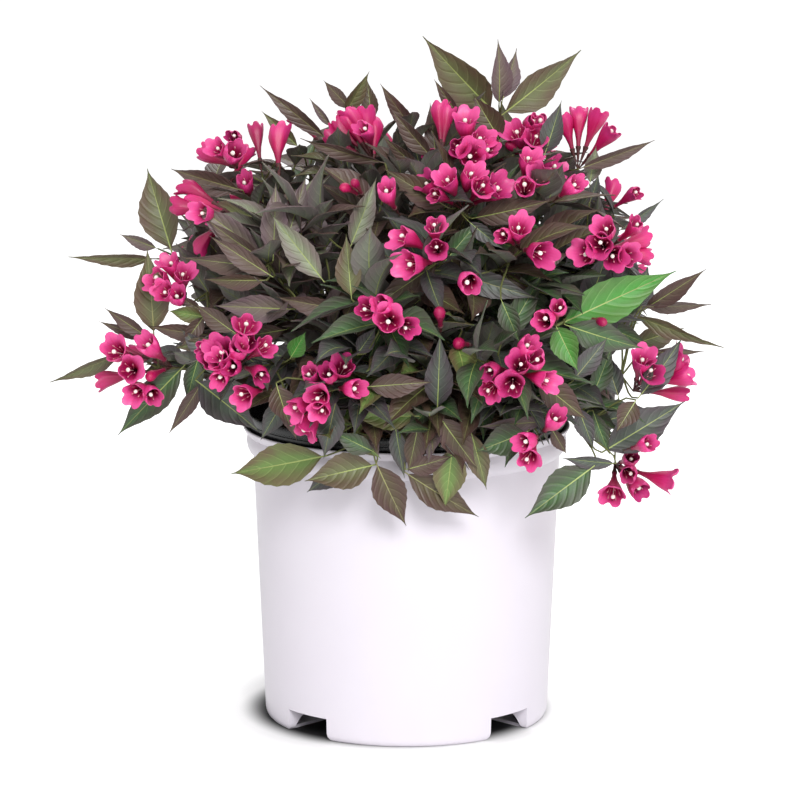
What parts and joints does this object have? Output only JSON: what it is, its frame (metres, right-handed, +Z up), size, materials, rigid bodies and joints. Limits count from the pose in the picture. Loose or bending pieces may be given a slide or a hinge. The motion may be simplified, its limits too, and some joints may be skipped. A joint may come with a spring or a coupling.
{
  "type": "potted flowering shrub",
  "caption": "Weigela shrub in flower, dark bronze leaves and pink funnel flowers on a round spreading crown, in a black grow pot set inside a white outer pot with notches round its foot.",
  "frame": {"origin": "middle of the outer pot's flat underside", "axes": "+Z up along the pots' axis, -Y towards the front, +X to the viewer's right"},
  "size_m": [0.5488, 0.5672, 0.5816],
  "materials": {
    "outer_pot_plastic": "satin white, moulded",
    "inner_pot_plastic": "satin black, moulded",
    "potting_soil": "loose, damp bark and peat",
    "bark": "thin brown bark, greener towards the tips",
    "foliage": "dark bronze leaves, some green, with hot pink flowers"
  },
  "bodies": {
    "root": {"outer_pot": "outer_pot_plastic", "inner_pot": "inner_pot_plastic", "potting_soil": "potting_soil", "root_crown": "bark", "top_bough": "bark", "upper_front_bough": "bark", "upper_right_bough": "bark", "upper_left_bough": "bark", "left_bough": "bark", "low_left_bough": "bark", "front_bough": "bark", "front_right_bough": "bark", "right_bough": "bark", "low_right_bough": "bark", "back_right_bough": "bark", "back_bough": "bark", "back_left_bough": "bark", "top_leader": "foliage", "top_middle_bloom": "foliage", "high_front_bloom": "foliage", "right_shoulder_bloom": "foliage", "front_shoulder_bloom": "foliage", "left_crest_bloom": "foliage", "left_shoulder_bloom": "foliage", "left_side_bloom": "foliage", "left_front_leaves": "foliage", "low_left_bloom": "foliage", "far_left_bloom": "foliage", "front_bloom": "foliage", "low_front_bloom": "foliage", "right_front_bloom": "foliage", "front_leaves": "foliage", "right_fan_bloom": "foliage", "far_right_bloom": "foliage", "low_right_bloom": "foliage", "back_right_high": "foliage", "back_right_low": "foliage", "back_top": "foliage", "back_low": "foliage", "back_left_high": "foliage", "back_left_low": "foliage"}
  },
  "joints": []
}
